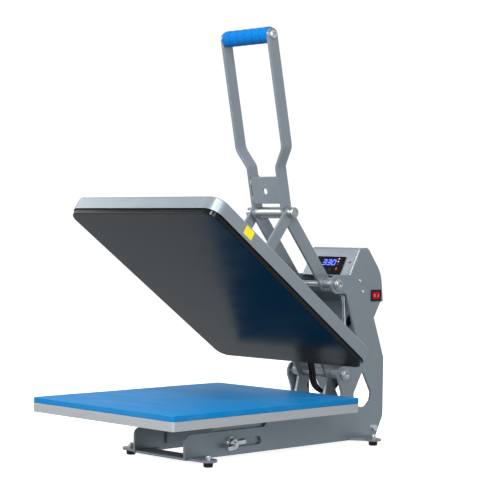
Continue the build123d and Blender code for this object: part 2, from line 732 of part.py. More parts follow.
def strut_cylinders():
    """Pressure tubes, each closed round its rod and ending in a ball socket beside the lower pin."""
    top, foot = strut_line()
    length = hypot(foot[0] - top[0], foot[1] - top[1])
    body = rod_z(0, 0, 8, 98, length - 12) + rod_z(0, 0, 5.5, length - 12, length - 4)
    body += Pos(0, 0, length) * Rot(0, 90, 0) * Cylinder(7, 9)
    return both_sides(on_strut(body - rod_z(0, 0, 4 + RUN, 90, 230)))


def strut_top_studs():
    """Studs welded inside the side plates, through the eyes of the rods."""
    stud = rod_x(STRUT_TOP, 7, STRUT_X + 5.3, FRAME_INNER) + rod_x(STRUT_TOP, 3.5, STRUT_X - 6, FRAME_INNER)
    return both_sides(stud)


# ---------------------------------------------------------------- heater cable
def heater_cable():
    """Two supply cables side by side, from the glands on the cover, under the hinge shaft and up the column."""
    gland = open_point((COVER_REAR, GLAND_Z))
    first = open_point((COVER_REAR + 26, GLAND_Z))
    route = [(0, *gland), (0, *first), (-1, 567, 160), (-2, 570, 137), (-2, 583, 118), (0, 606, 109)]
    route += [(2, 630, 115), (3, 645, 134), (4, 650, 160), (4, 652, 188), (3, 658, 216)]
    route += [(2, 665, 239), (1, 675, 255), (0, 692, CABLE_ENTRY + 1)]
    runs = [Vector(*b) - Vector(*a) for a, b in zip(route, route[1:])]
    radii = []
    for before, after in zip(runs, runs[1:]):
        half_turn = radians(before.get_angle(after)) / 2
        radii.append(0.45 * min(before.length, after.length) * cos(half_turn) / sin(half_turn))
    path = FilletPolyline(*route, radius=radii)
    cable = sweep(Plane(origin=path @ 0, z_dir=path % 0) * Circle(CABLE_R), path=path)
    print("cable bend radii", [round(r) for r in radii])
    print("cable length", round(path.length, 1), "volume", cable.volume, "expected", pi * CABLE_R**2 * path.length)
    return Compound(children=[Pos(x, 0, 0) * cable for x in CABLE_SPOTS])


# ---------------------------------------------------------------- everything
fixed = {
    "left_frame_plate": frame_plate(-1),
    "right_frame_plate": frame_plate(1),
    "front_foot_bar": foot_bar(FRONT_FOOT_Y, 152, 198, FRONT_TAB),
    "rear_foot_bar": foot_bar(REAR_FOOT_Y, 640, 686, REAR_TAB),
    "rubber_feet": at_feet(rubber_foot()),
    "foot_bolts": at_feet(foot_bolt()),
    "rear_tie_bar": rear_tie_bar(),
    "rear_tie_bolts": tie_bolts(),
    "middle_tie_bar": middle_tie_bar(),
    "hinge_shaft": fixed_shaft(HINGE),
    "lever_shaft": fixed_shaft(LEVER_PIVOT),
    "hinge_spacers": outer_spacers(HINGE, 12.3),
    "lever_spacers": outer_spacers(LEVER_PIVOT, 14),
    "strut_top_studs": strut_top_studs(),
    "magnet_bracket": magnet_bracket(),
    "electromagnet": electromagnet(),
    "control_box_shell": control_box_shell(),
    "box_rear_cover": rear_cover(),
    "box_screws": box_screws(),
    "display_panel": display_panel(),
    "circuit_board": circuit_board(),
    "heater_relay": relay_block(),
    "switch_bezel": switch_bezel(),
    "mains_inlet": mains_inlet(),
    "heater_cable": heater_cable(),
}
moving = {
    "power_rocker": switch_rocker(),
    "silicone_pad": silicone_pad(),
    "lower_platen": lower_platen(),
    "table_carriage": carriage(),
    "table_screws": table_screws(),
    "clamp_stud": clamp_stud(),
    "wing_nut": wing_nut(),
    "left_lever_arm": lever_arm(-1),
    "right_lever_arm": lever_arm(1),
    "handle_bracket": handle_bracket(),
    "grip_rod": grip_rod(),
    "foam_grip": foam_grip(),
    "elbow_shaft": elbow_shaft(),
    "elbow_sleeve": elbow_sleeve(),
    "elbow_collars": elbow_collars(),
    "toggle_links": toggle_links(),
    "strut_rods": strut_rods(),
    "strut_cylinders": strut_cylinders(),
}
clamshell = {
    "left_arm_plate": arm_plate(-1),
    "right_arm_plate": arm_plate(1),
    "hinge_sleeve": hinge_sleeve(),
    "arm_cross_plate": arm_cross_plate(),
    "arm_pins": arm_pins(),
    "armature_plate": armature_plate(),
    "heater_cover": heater_cover(),
    "heat_platen": heat_platen(),
    "heating_element": heating_element(),
    "insulation_sheet": insulation_sheet(),
    "cable_gland": cable_gland(),
    "yellow_patch": plain_patch(),
    "pressure_screw": pressure_screw(),
    "pressure_knob": pressure_knob(),
}

os.makedirs("parts", exist_ok=True)
for name, shape in (fixed | moving).items():
    save(shape, name)
for name, spot in KEY_SPOTS.items():
    save(key(spot), name)
for name, shape in clamshell.items():
    save(open_up(shape), name)
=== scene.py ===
import json
import math

import bmesh
import bpy
from mathutils import Matrix, Vector, noise


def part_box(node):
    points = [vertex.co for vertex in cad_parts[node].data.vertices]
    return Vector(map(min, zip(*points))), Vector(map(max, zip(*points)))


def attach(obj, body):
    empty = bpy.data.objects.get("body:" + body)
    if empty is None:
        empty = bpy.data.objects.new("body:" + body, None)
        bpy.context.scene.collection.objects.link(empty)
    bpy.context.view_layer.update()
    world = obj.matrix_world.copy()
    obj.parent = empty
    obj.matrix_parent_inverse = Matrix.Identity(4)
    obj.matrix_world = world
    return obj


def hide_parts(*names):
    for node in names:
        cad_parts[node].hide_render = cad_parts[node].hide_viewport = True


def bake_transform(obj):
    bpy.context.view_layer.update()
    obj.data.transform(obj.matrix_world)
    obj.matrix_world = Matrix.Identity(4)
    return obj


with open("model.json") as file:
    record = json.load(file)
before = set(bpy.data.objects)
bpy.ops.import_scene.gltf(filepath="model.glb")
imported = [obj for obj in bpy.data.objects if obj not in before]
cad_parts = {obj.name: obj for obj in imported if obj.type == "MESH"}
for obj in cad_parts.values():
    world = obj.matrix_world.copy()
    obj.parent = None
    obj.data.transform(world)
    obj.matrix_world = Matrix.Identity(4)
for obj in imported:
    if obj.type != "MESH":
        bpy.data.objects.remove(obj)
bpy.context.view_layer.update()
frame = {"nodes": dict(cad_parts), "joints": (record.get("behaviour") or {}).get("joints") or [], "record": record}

MM = 0.001
NODES = frame["nodes"]
scene = bpy.context.scene


def centre(node):
    low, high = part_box(node)
    return (low + high) / 2


# ---------------------------------------------------------------- camera
CAMERA_SPOT = Vector((2.217, -2.23, 0.4423))
CAMERA_YAW, CAMERA_PITCH, CAMERA_ROLL = (math.radians(a) for a in (44.886, 0.195, 0.882))


def add_camera():
    data = bpy.data.cameras.new("camera")
    data.lens, data.sensor_width = 115.8, 36.0
    data.clip_start, data.clip_end = 0.05, 60
    camera = bpy.data.objects.new("camera", data)
    scene.collection.objects.link(camera)
    level = math.cos(CAMERA_PITCH)
    back = Vector((math.sin(CAMERA_YAW) * level, -math.cos(CAMERA_YAW) * level, math.sin(CAMERA_PITCH)))
    right = (-back).cross(Vector((0, 0, 1))).normalized()
    up = back.cross(right)
    turned_right = math.cos(CAMERA_ROLL) * right + math.sin(CAMERA_ROLL) * up
    turned_up = math.cos(CAMERA_ROLL) * up - math.sin(CAMERA_ROLL) * right
    turn = Matrix((turned_right, turned_up, back)).transposed().to_4x4()
    camera.matrix_world = Matrix.Translation(CAMERA_SPOT) @ turn
    scene.camera = camera


# ---------------------------------------------------------------- studio
# Colour and strength of the surroundings: where the camera sees them, in reflections, and as fill light.
SEEN_WORLD = ((1, 1, 1), 1.05)
MIRRORED_WORLD = ((0.88, 0.95, 1), 0.74)
FILL_WORLD = ((0.94, 0.97, 1), 0.17)

# Name, place, point aimed at and size in metres, and watts.
SOFTBOXES = (
    ("right_box", (1.4, -0.85, 1.0), (0.1, 0, 0.45), (0.9, 1.2), 22),
    ("front_box", (-0.3, -2.9, 1.2), (0, 0, 0.3), (1.8, 1.4), 34),
    ("left_box", (-2.3, -1.3, 1.5), (0, -0.1, 0.1), (1.8, 1.2), 35),
    ("top_box", (-0.2, 0.1, 2.7), (0, 0, 0.3), (2.2, 2.2), 9),
    ("glint_box", (1.05, -1.25, 2.35), (0.1, 0.2, 0.4), (0.4, 0.4), 18),
    ("back_box", (-1.2, 2.6, 1.2), (0, 0, 0.4), (1.6, 1.4), 12),
)

FLOOR_REACH = 14.0
FLOOR_GLOW = 0.85


def softbox(name, spot, target, size, watts):
    data = bpy.data.lights.new(name, "AREA")
    data.shape, data.size, data.size_y, data.energy = "RECTANGLE", size[0], size[1], watts
    light = bpy.data.objects.new(name, data)
    scene.collection.objects.link(light)
    aim = (Vector(target) - Vector(spot)).to_track_quat("-Z", "Y")
    light.matrix_world = Matrix.Translation(Vector(spot)) @ aim.to_matrix().to_4x4()
    light.visible_camera = False


def add_world():
    """White surroundings, dimmer in reflections and dimmest as fill light."""
    world = bpy.data.worlds.new("studio")
    scene.world = world
    world.use_nodes = True
    nodes, links = world.node_tree.nodes, world.node_tree.links
    nodes.clear()
    path = nodes.new("ShaderNodeLightPath")
    seen, mirrored, fill = (background(nodes, *look) for look in (SEEN_WORLD, MIRRORED_WORLD, FILL_WORLD))
    glossy, diffuse = nodes.new("ShaderNodeMixShader"), nodes.new("ShaderNodeMixShader")
    links.new(path.outputs["Is Glossy Ray"], glossy.inputs["Fac"])
    links.new(seen.outputs[0], glossy.inputs[1])
    links.new(mirrored.outputs[0], glossy.inputs[2])
    links.new(path.outputs["Is Diffuse Ray"], diffuse.inputs["Fac"])
    links.new(glossy.outputs[0], diffuse.inputs[1])
    links.new(fill.outputs[0], diffuse.inputs[2])
    links.new(diffuse.outputs[0], nodes.new("ShaderNodeOutputWorld").inputs["Surface"])


def background(nodes, color, strength):
    node = nodes.new("ShaderNodeBackground")
    node.inputs["Color"].default_value = (*color, 1)
    node.inputs["Strength"].default_value = strength
    return node


def add_floor():
    """Plain pale paper, hidden from the rays that light the object and from those that it mirrors."""
    mesh = bpy.data.meshes.new("floor")
    corners = ((-1, -1), (1, -1), (1, 1), (-1, 1))
    mesh.from_pydata([(FLOOR_REACH * x, FLOOR_REACH * y, 0) for x, y in corners], [], [(0, 1, 2, 3)])
    floor = bpy.data.objects.new("floor", mesh)
    scene.collection.objects.link(floor)
    floor.visible_diffuse = floor.visible_glossy = False
    paper = Finish("floor_paper", (0.86, 0.86, 0.86), 0.85)
    paper.set("Emission Color", (1, 1, 1, 1))
    paper.set("Emission Strength", FLOOR_GLOW)
    mesh.materials.append(paper.material)


def add_studio():
    scene.view_settings.view_transform = "Standard"
    add_world()
    for box in SOFTBOXES:
        softbox(*box)
    add_floor()


# ---------------------------------------------------------------- materials
# Places of the two colour inputs and of the colour output on a Mix node.
MIX_COLOR_INPUTS = (6, 7)
MIX_COLOR_OUTPUT = 2


class Finish:
    """A procedural material. Its patterns are laid out in metres, in the frame of the object at rest."""

    def __init__(self, name, color, roughness, metallic=0.0, **sockets):
        self.material = bpy.data.materials.new(name)
        self.material.use_nodes = True
        self.tree = self.material.node_tree
        self.shader = self.tree.nodes["Principled BSDF"]
        self.color = color
        self.set("Base Color", (*color, 1))
        self.set("Roughness", roughness)
        self.set("Metallic", metallic)
        for socket, value in sockets.items():
            self.set(socket.replace("_", " "), value)
        self.place = self.tree.nodes.new("ShaderNodeTexCoord").outputs["Object"]

    def set(self, socket, value):
        self.shader.inputs[socket].default_value = value

    def link(self, output, node, socket):
        self.tree.links.new(output, node.inputs[socket])

    def stretched(self, scale):
        mapping = self.tree.nodes.new("ShaderNodeMapping")
        mapping.inputs["Scale"].default_value = scale
        self.link(self.place, mapping, "Vector")
        return mapping.outputs["Vector"]

    def noise(self, per_metre, detail=3.0, stretch=None, rough=0.55):
        node = self.tree.nodes.new("ShaderNodeTexNoise")
        node.inputs["Scale"].default_value = per_metre
        node.inputs["Detail"].default_value = detail
        node.inputs["Roughness"].default_value = rough
        self.link(self.stretched(stretch) if stretch else self.place, node, "Vector")
        return node.outputs["Fac"]

    def cells(self, per_metre, feature="F1"):
        node = self.tree.nodes.new("ShaderNodeTexVoronoi")
        node.feature = feature
        node.inputs["Scale"].default_value = per_metre
        self.link(self.place, node, "Vector")
        return node.outputs["Distance"]

    def ramp(self, factor, low, high, start=0.3, end=0.7):
        node = self.tree.nodes.new("ShaderNodeValToRGB")
        first, last = node.color_ramp.elements
        first.position, last.position = start, end
        first.color, last.color = (*low, 1), (*high, 1)
        self.link(factor, node, "Fac")
        return node.outputs["Color"]

    def shades(self, factor, darker, lighter, start=0.3, end=0.7):
        """Base colour that drifts between two multiples of the plain one."""
        low, high = ([min(1.0, c * k) for c in self.color] for k in (darker, lighter))
        return self.ramp(factor, low, high, start, end)

    def blend_colors(self, factor, first, second, mode="MIX"):
        node = self.tree.nodes.new("ShaderNodeMix")
        node.data_type, node.blend_type = "RGBA", mode
        if isinstance(factor, float):
            node.inputs["Factor"].default_value = factor
        else:
            self.tree.links.new(factor, node.inputs["Factor"])
        for index, color in zip(MIX_COLOR_INPUTS, (first, second)):
            if isinstance(color, tuple):
                node.inputs[index].default_value = (*color, 1)
            else:
                self.tree.links.new(color, node.inputs[index])
        return node.outputs[MIX_COLOR_OUTPUT]

    def paint(self, output):
        self.link(output, self.shader, "Base Color")

    def vary_roughness(self, factor, low, high):
        node = self.tree.nodes.new("ShaderNodeMapRange")
        node.inputs["From Min"].default_value, node.inputs["From Max"].default_value = 0.3, 0.7
        node.inputs["To Min"].default_value, node.inputs["To Max"].default_value = low, high
        self.link(factor, node, "Value")
        self.link(node.outputs["Result"], self.shader, "Roughness")

    def bump(self, *layers):
        """Relief from (height, depth in metres) pairs, one on another."""
        normal = None
        for height, depth in layers:
            node = self.tree.nodes.new("ShaderNodeBump")
            node.inputs["Strength"].default_value = 1.0
            node.inputs["Distance"].default_value = depth
            self.link(height, node, "Height")
            if normal:
                self.link(normal, node, "Normal")
            normal = node.outputs["Normal"]
        self.link(normal, self.shader, "Normal")


def powder_coat():
    """Silver-grey powder coat: orange peel, fine metal flake and faint handling marks."""
    coat = Finish("grey_powder_coat", (0.272, 0.303, 0.335), 0.36, 0.5)
    flake, cloud = coat.noise(3200, 1), coat.noise(22, 4)
    base = coat.shades(flake, 0.86, 1.14, 0.35, 0.65)
    coat.paint(coat.blend_colors(0.5, base, coat.shades(cloud, 0.93, 1.06)))
    coat.vary_roughness(coat.noise(60, 5), 0.3, 0.4)
    coat.bump((coat.noise(700, 2), 0.00005), (flake, 0.00002))
    return coat.material


def zinc_plate():
    """Bright zinc: cloudy passivated patches and fine draw marks."""
    zinc = Finish("bright_zinc", (0.6, 0.61, 0.63), 0.3, 1.0)
    cloud = zinc.noise(140, 4)
    zinc.paint(zinc.ramp(cloud, (0.52, 0.54, 0.57), (0.66, 0.65, 0.63)))
    zinc.vary_roughness(zinc.noise(260, 5), 0.24, 0.38)
    zinc.bump((zinc.noise(500, 3), 0.00002), (zinc.noise(1500, 2, (12, 1, 1)), 0.00001))
    return zinc.material


def satin_steel():
    """Turned steel with a dull finish: rings round the axis of the shafts."""
    steel = Finish("satin_steel", (0.42, 0.43, 0.44), 0.36, 0.9)
    rings = steel.noise(90, 3, (40, 0.6, 0.6))
    steel.paint(steel.shades(rings, 0.86, 1.1))
    steel.vary_roughness(steel.noise(180, 4), 0.3, 0.42)
    steel.bump((rings, 0.00002), (steel.noise(900, 2), 0.00002))
    return steel.material


def platen_aluminium():
    """Fly-cut plate: fine level streaks along its sides and a cloudy skin."""
    plate = Finish("fly_cut_aluminium", (0.5, 0.515, 0.53), 0.46, 0.6)
    streaks = plate.noise(1.0, 4, (14, 14, 1500))
    pits = plate.noise(420, 4)
    plate.paint(plate.blend_colors(0.5, plate.shades(streaks, 0.84, 1.08), plate.shades(pits, 0.85, 1.08)))
    plate.vary_roughness(streaks, 0.38, 0.58)
    plate.bump((streaks, 0.00005), (pits, 0.00004))
    return plate.material


def nonstick():
    """Dark baked coat: soft gloss with a faint speckle and polishing haze."""
    coat = Finish("dark_nonstick_coat", (0.003, 0.0035, 0.0045), 0.2, 0.0, Specular_IOR_Level=0.2)
    speckle = coat.noise(1800, 2)
    coat.paint(coat.ramp(speckle, (0.002, 0.0024, 0.003), (0.005, 0.0055, 0.0065)))
    coat.vary_roughness(coat.noise(9, 5, (1, 3, 1)), 0.15, 0.25)
    coat.bump((speckle, 0.000004))
    return coat.material


def silicone():
    """Moulded silicone sheet: fine open grain, and paler, greyer streaks that are also a little rougher."""
    pad = Finish("blue_silicone_sponge", (0.0, 0.235, 0.6), 0.55, 0.0, Specular_IOR_Level=0.25)
    grain = pad.noise(1500, 3)
    # Paler, greyer streaks in large patches, spread at random over the whole sheet.
    pale_streaks = pad.noise(7, 6, (1, 2.6, 1))
    base = pad.shades(grain, 0.88, 1.1)
    pad.paint(pad.blend_colors(pad.ramp(pale_streaks, (0, 0, 0), (0.22, 0.22, 0.22), 0.45, 0.75),
                               base, (0.09, 0.31, 0.6)))
    pad.vary_roughness(pale_streaks, 0.42, 0.6)
    pad.bump((grain, 0.00005), (pad.noise(90, 3), 0.00008))
    return pad.material


def foam():
    """Closed-cell grip foam: open pores in a dull skin."""
    grip = Finish("blue_grip_foam", (0.0, 0.19, 0.6), 0.82, 0.0, Specular_IOR_Level=0.1,
                  Sheen_Weight=0.05, Sheen_Roughness=0.5)
    pores = grip.cells(1300)
    grip.paint(grip.shades(pores, 0.7, 1.1, 0.1, 0.5))
    grip.vary_roughness(grip.noise(300, 3), 0.75, 0.92)
    grip.bump((pores, 0.00025), (grip.noise(260, 3), 0.0003))
    return grip.material


def dark(name, color, low, high, grain, depth, **sockets):
    """A dark moulded or painted surface with its own grain."""
    skin = Finish(name, color, (low + high) / 2, **sockets)
    fine = skin.noise(grain, 3)
    skin.paint(skin.shades(skin.noise(grain / 12, 4), 0.75, 1.35))
    skin.vary_roughness(fine, low, high)
    skin.bump((fine, depth))
    return skin.material


def chrome():
    rod = Finish("hard_chrome", (0.7, 0.71, 0.73), 0.1, 1.0)
    film = rod.noise(60, 4)
    rod.paint(rod.shades(film, 0.9, 1.05))
    rod.vary_roughness(film, 0.05, 0.13)
    rod.bump((rod.noise(700, 2), 0.000004))
    return rod.material


def fascia():
    """Gloss black fascia with a trace of dust."""
    face = Finish("black_gloss_fascia", (0.004, 0.004, 0.005), 0.1, 0.0, Specular_IOR_Level=0.12)
    dust = face.noise(2400, 2)
    face.paint(face.ramp(dust, (0.003, 0.003, 0.004), (0.012, 0.012, 0.015), 0.55, 0.8))
    face.vary_roughness(face.noise(120, 4), 0.06, 0.16)
    face.bump((dust, 0.000004))
    return face.material


def rocker_plastic():
    red = Finish("red_rocker_plastic", (0.62, 0.0, 0.006), 0.25, 0.0, Specular_IOR_Level=0.2)
    red.paint(red.shades(red.noise(160, 4), 0.82, 1.12))
    red.vary_roughness(red.noise(400, 3), 0.16, 0.28)
    red.bump((red.noise(1200, 2), 0.00001))
    return red.material


def board():
    """Green lacquered board with copper runs under the lacquer."""
    green = Finish("green_board", (0.01, 0.1, 0.03), 0.32)
    runs = green.cells(260, "DISTANCE_TO_EDGE")
    green.paint(green.ramp(runs, (0.04, 0.2, 0.05), (0.008, 0.085, 0.025), 0.02, 0.09))
    green.vary_roughness(green.noise(300, 3), 0.25, 0.4)
    green.bump((runs, 0.00004))
    return green.material


def wool():
    fibre = Finish("fibre_sheet", (0.74, 0.72, 0.66), 0.95)
    strands = fibre.noise(260, 5, (1, 6, 1))
    fibre.paint(fibre.shades(strands, 0.8, 1.08))
    fibre.vary_roughness(strands, 0.88, 1.0)
    fibre.bump((strands, 0.0004))
    return fibre.material


def film():
    """Plain yellow film, a little scuffed."""
    patch = Finish("yellow_film", (0.95, 0.82, 0.01), 0.32)
    scuff = patch.noise(220, 5)
    patch.paint(patch.ramp(scuff, (0.92, 0.78, 0.005), (1.0, 0.9, 0.03), 0.35, 0.65))
    patch.vary_roughness(scuff, 0.26, 0.42)
    patch.bump((patch.noise(900, 2), 0.00001))
    return patch.material


def glow(name, color, strength, base=(0.01, 0.01, 0.02)):
    """A lit part of the display, a little uneven."""
    lit = Finish(name, base, 0.3)
    uneven = lit.ramp(lit.noise(700, 2), [c * 0.85 for c in color], color)
    lit.link(uneven, lit.shader, "Emission Color")
    lit.set("Emission Strength", strength)
    lit.vary_roughness(lit.noise(900, 2), 0.25, 0.35)
    return lit.material


def print_ink(name, color):
    ink = Finish(name, color, 0.5)
    ink.paint(ink.shades(ink.noise(1500, 3), 0.82, 1.08))
    ink.vary_roughness(ink.noise(800, 2), 0.42, 0.6)
    return ink.material


def make_materials():
    return {
        "grey_coat": powder_coat(),
        "zinc_steel": zinc_plate(),
        "satin_steel": satin_steel(),
        "bare_aluminium": platen_aluminium(),
        "nonstick_coat": nonstick(),
        "blue_silicone": silicone(),
        "blue_foam": foam(),
        "black_rubber": dark("black_rubber", (0.014, 0.014, 0.015), 0.55, 0.75, 700, 0.00006,
                             Specular_IOR_Level=0.25),
        "cable_jacket": dark("black_cable_jacket", (0.006, 0.006, 0.007), 0.2, 0.34, 500, 0.00003,
                             Specular_IOR_Level=0.3),
        "chrome_rod": chrome(),
        "black_paint": dark("black_strut_paint", (0.011, 0.011, 0.012), 0.18, 0.3, 350, 0.00002),
        "black_plastic": dark("black_plastic", (0.008, 0.008, 0.009), 0.32, 0.48, 1100, 0.00003,
                              Specular_IOR_Level=0.2),
        "display_gloss": fascia(),
        "red_rocker": rocker_plastic(),
        "green_board": board(),
        "white_wool": wool(),
        "yellow_film": film(),
    }


# ---------------------------------------------------------------- CAD nodes
SATIN_NODES = ("hinge_sleeve", "hinge_spacers", "lever_spacers", "elbow_collars", "elbow_sleeve",
               "hinge_shaft", "lever_shaft", "elbow_shaft")
# Width of the rounded edges of each finish, in millimetres. The finishes left out keep sharp edges.
EDGE_ROUNDING = {"grey_coat": 0.55, "zinc_steel": 0.3, "satin_steel": 0.5, "bare_aluminium": 0.6,
                 "nonstick_coat": 0.8, "black_plastic": 0.3, "display_gloss": 0.25, "red_rocker": 0.4}
# Millimetres between points that count as one, and degrees: faces that bend less are joined into one, and
# edges that bend more are rounded.
WELD_DISTANCE = 0.004
FLAT_ANGLE, SHARP_ANGLE = 0.4, 38


def smooth_shading():
    """Node group that welds a part's faces together and shades them smooth."""
    group = bpy.data.node_groups.new("weld_and_smooth", "GeometryNodeTree")
    group.interface.new_socket("Geometry", in_out="INPUT", socket_type="NodeSocketGeometry")
    group.interface.new_socket("Geometry", in_out="OUTPUT", socket_type="NodeSocketGeometry")
    start, end = group.nodes.new("NodeGroupInput"), group.nodes.new("NodeGroupOutput")
    weld = group.nodes.new("GeometryNodeMergeByDistance")
    weld.inputs["Distance"].default_value = WELD_DISTANCE * MM
    smooth = group.nodes.new("GeometryNodeSetShadeSmooth")
    group.links.new(start.outputs[0], weld.inputs["Geometry"])
    group.links.new(weld.outputs["Geometry"], smooth.inputs["Geometry"])
    group.links.new(smooth.outputs["Geometry"], end.inputs[0])
    return group


def round_edges(piece, width, group=None, segments=2):
    """Breaks the sharp edges of a piece, so that they catch the light as real ones do."""
    if group:
        piece.modifiers.new("weld", "NODES").node_group = group
        flat = piece.modifiers.new("flat", "DECIMATE")
        flat.decimate_type, flat.angle_limit = "DISSOLVE", math.radians(FLAT_ANGLE)
    bevel = piece.modifiers.new("edges", "BEVEL")
    bevel.width, bevel.segments = width, segments
    bevel.limit_method, bevel.angle_limit = "ANGLE", math.radians(SHARP_ANGLE)
    bevel.use_clamp_overlap = True
    normals = piece.modifiers.new("normals", "WEIGHTED_NORMAL")
    normals.weight, normals.keep_sharp = 60, False


def finish_cad_nodes(materials):
    group = smooth_shading()
    slots = {part["node"]: part["material_slot"] for part in frame["record"]["subparts"]}
    for name, node in NODES.items():
        finish = "satin_steel" if name in SATIN_NODES else slots[name]
        for place in node.material_slots:
            place.material = materials[finish]
        if finish in EDGE_ROUNDING:
            round_edges(node, EDGE_ROUNDING[finish] * MM, group)


# ---------------------------------------------------------------- mesh helpers
def add_piece(name, mesh, material, body, smooth=True):
    piece = bpy.data.objects.new(name, mesh)
    scene.collection.objects.link(piece)
    mesh.materials.append(material)
    for polygon in mesh.polygons:
        polygon.use_smooth = smooth
    if body:
        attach(piece, body)
    return piece


def mesh_from(name, points, faces):
    mesh = bpy.data.meshes.new(name)
    mesh.from_pydata([tuple(p) for p in points], [], faces)
    work = bmesh.new()
    work.from_mesh(mesh)
    bmesh.ops.recalc_face_normals(work, faces=work.faces)
    work.to_mesh(mesh)
    work.free()
    return mesh


def tube_parts(line, radii, sides=20):
    """Points and faces of a closed tube along a line, with a radius at each of its points."""
    points, faces = [], []
    side = None
    for i, spot in enumerate(line):
        ahead = (line[min(i + 1, len(line) - 1)] - line[max(i - 1, 0)]).normalized()
        side = side or ahead.orthogonal()
        side = (side - ahead * side.dot(ahead)).normalized()
        across = ahead.cross(side)
        for k in range(sides):
            angle = 2 * math.pi * k / sides
            points.append(spot + (side * math.cos(angle) + across * math.sin(angle)) * radii[i])
    for i in range(len(line) - 1):
        for k in range(sides):
            near, far = i * sides + k, i * sides + (k + 1) % sides
            faces.append((near, far, far + sides, near + sides))
    last = (len(line) - 1) * sides
    faces.append(tuple(range(sides)))
    faces.append(tuple(range(last, last + sides)))
    return points, faces


def merge_parts(parts):
    points, faces = [], []
    for more_points, more_faces in parts:
        base = len(points)
        points += more_points
        faces += [tuple(base + i for i in face) for face in more_faces]
    return points, faces


def turned_parts(profile, middle, sides=64):
    """Points and faces of a closed solid turned round a line along X, from (x, radius) pairs."""
    line = [Vector((x, middle.y, middle.z)) for x, _ in profile]
    points, faces = [], []
    for spot, (_, radius) in zip(line, profile):
        for k in range(sides):
            angle = 2 * math.pi * k / sides
            points.append(spot + Vector((0, math.cos(angle), math.sin(angle))) * radius)
    for i in range(len(line) - 1):
        for k in range(sides):
            near, far = i * sides + k, i * sides + (k + 1) % sides
            faces.append((near, far, far + sides, near + sides))
    last = (len(line) - 1) * sides
    faces += [tuple(range(sides)), tuple(range(last, last + sides))]
    return points, faces


# ---------------------------------------------------------------- heater cables
# The route of a cable in millimetres: X from the cable's own place in CABLE_SPOTS, Y from the front of the
# machine, which is ROUTE_SHIFT before its middle, and Z from the floor.
HEATER_ROUTE = [
    (0, 535.8, 197.8), (0, 557.1, 183.0), (-1, 567, 160), (-2, 570, 137), (-2, 583, 118), (0, 606, 109),
    (2, 630, 115), (3, 645, 134), (4, 650, 160), (4, 652, 188), (3, 658, 216), (2, 665, 239), (1, 675, 255),
    (0, 692, 266)]
CABLE_SPOTS = {"left": 16.4, "right": 25.8}
ROUTE_SHIFT = 369.05
CABLE_DIAMETER = 8.0 * MM


def smooth_line(name, route):
    """The points of the smooth spline that a route's points pull into shape."""
    curve = bpy.data.curves.new(name, "CURVE")
    curve.dimensions, curve.resolution_u = "3D", 10
    spline = curve.splines.new("NURBS")
    spline.points.add(len(route) - 1)
    for point, spot in zip(spline.points, route):
        point.co = (*spot, 1)
    spline.order_u, spline.use_endpoint_u = 3, True
    holder = bpy.data.objects.new(name, curve)
    mesh = bpy.data.meshes.new_from_object(holder)
    line = [v.co.copy() for v in mesh.vertices]
    bpy.data.objects.remove(holder)
    bpy.data.curves.remove(curve)
    return line


def add_heater_cables(materials):
    for side, offset in CABLE_SPOTS.items():
        name = f"{side}_heater_cable_jacket"
        route = [Vector((x + offset, y - ROUTE_SHIFT, z)) * MM for x, y, z in HEATER_ROUTE]
        line = smooth_line(f"{side}_cable_line", route)
        points, faces = tube_parts(line, [CABLE_DIAMETER / 2] * len(line), 24)
        mesh = mesh_from(name, points, faces)
        cable = add_piece(name, mesh, materials["cable_jacket"], None)
        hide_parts("heater_cable")
        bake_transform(cable)


# ---------------------------------------------------------------- soft pieces
# Silicone sheet, in millimetres: its corners, how far its top lies under the CAD top, the height of the slow
# waves on it, how far its grid lines stand from each edge, and how near the middle they may come.
PAD_CORNER, PAD_SINK, PAD_WAVE = 5, 0.2, 0.35
PAD_WAVES_PER_METRE = 9
PAD_STEPS = [0, 1.6, 5] + [20 + 16 * k for k in range(23)]
PAD_MIDDLE_GAP = 4
PAD_EDGE_ROUNDING = 1.1


def add_silicone_pad(materials):
    """Sheet with small round corners, very slightly uneven on top."""
    low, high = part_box("silicone_pad")
    corner = PAD_CORNER * MM

    def ticks(start, end):
        stop = (start + end) / 2 - PAD_MIDDLE_GAP * MM
        near = [start + s * MM for s in PAD_STEPS if start + s * MM < stop]
        return near + [start + end - t for t in reversed(near)]

    xs, ys = ticks(low.x, high.x), ticks(low.y, high.y)
    top, bottom, faces = [], [], []
    for y in ys:
        for x in xs:
            hub = Vector((min(max(x, low.x + corner), high.x - corner),
                          min(max(y, low.y + corner), high.y - corner)))
            off = Vector((x, y)) - hub
            if off.x and off.y:
                off = off.normalized() * max(abs(off.x), abs(off.y))
            flat = hub + off
            spot = Vector((x * PAD_WAVES_PER_METRE, y * PAD_WAVES_PER_METRE, 0.3))
            wave = noise.noise(spot) * PAD_WAVE * MM
            top.append(Vector((flat.x, flat.y, high.z - PAD_SINK * MM + wave)))
            bottom.append(Vector((flat.x, flat.y, low.z)))
    count, wide = len(top), len(xs)
    for j in range(len(ys) - 1):
        for i in range(wide - 1):
            a = j * wide + i
            faces.append((a, a + 1, a + wide + 1, a + wide))
            faces.append((count + a + wide, count + a + wide + 1, count + a + 1, count + a))
    last = (len(ys) - 1) * wide
    rim = list(range(wide)) + [j * wide + wide - 1 for j in range(1, len(ys))]
    rim += [last + i for i in range(wide - 2, -1, -1)] + [j * wide for j in range(len(ys) - 2, 0, -1)]
    for a, b in zip(rim, rim[1:] + rim[:1]):
        faces.append((a, b, count + b, count + a))
    mesh = mesh_from("silicone_sheet", top + bottom, faces)
    pad = add_piece("silicone_sheet", mesh, materials["blue_silicone"], "table")
    round_edges(pad, PAD_EDGE_ROUNDING * MM, segments=4)
    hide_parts("silicone_pad")


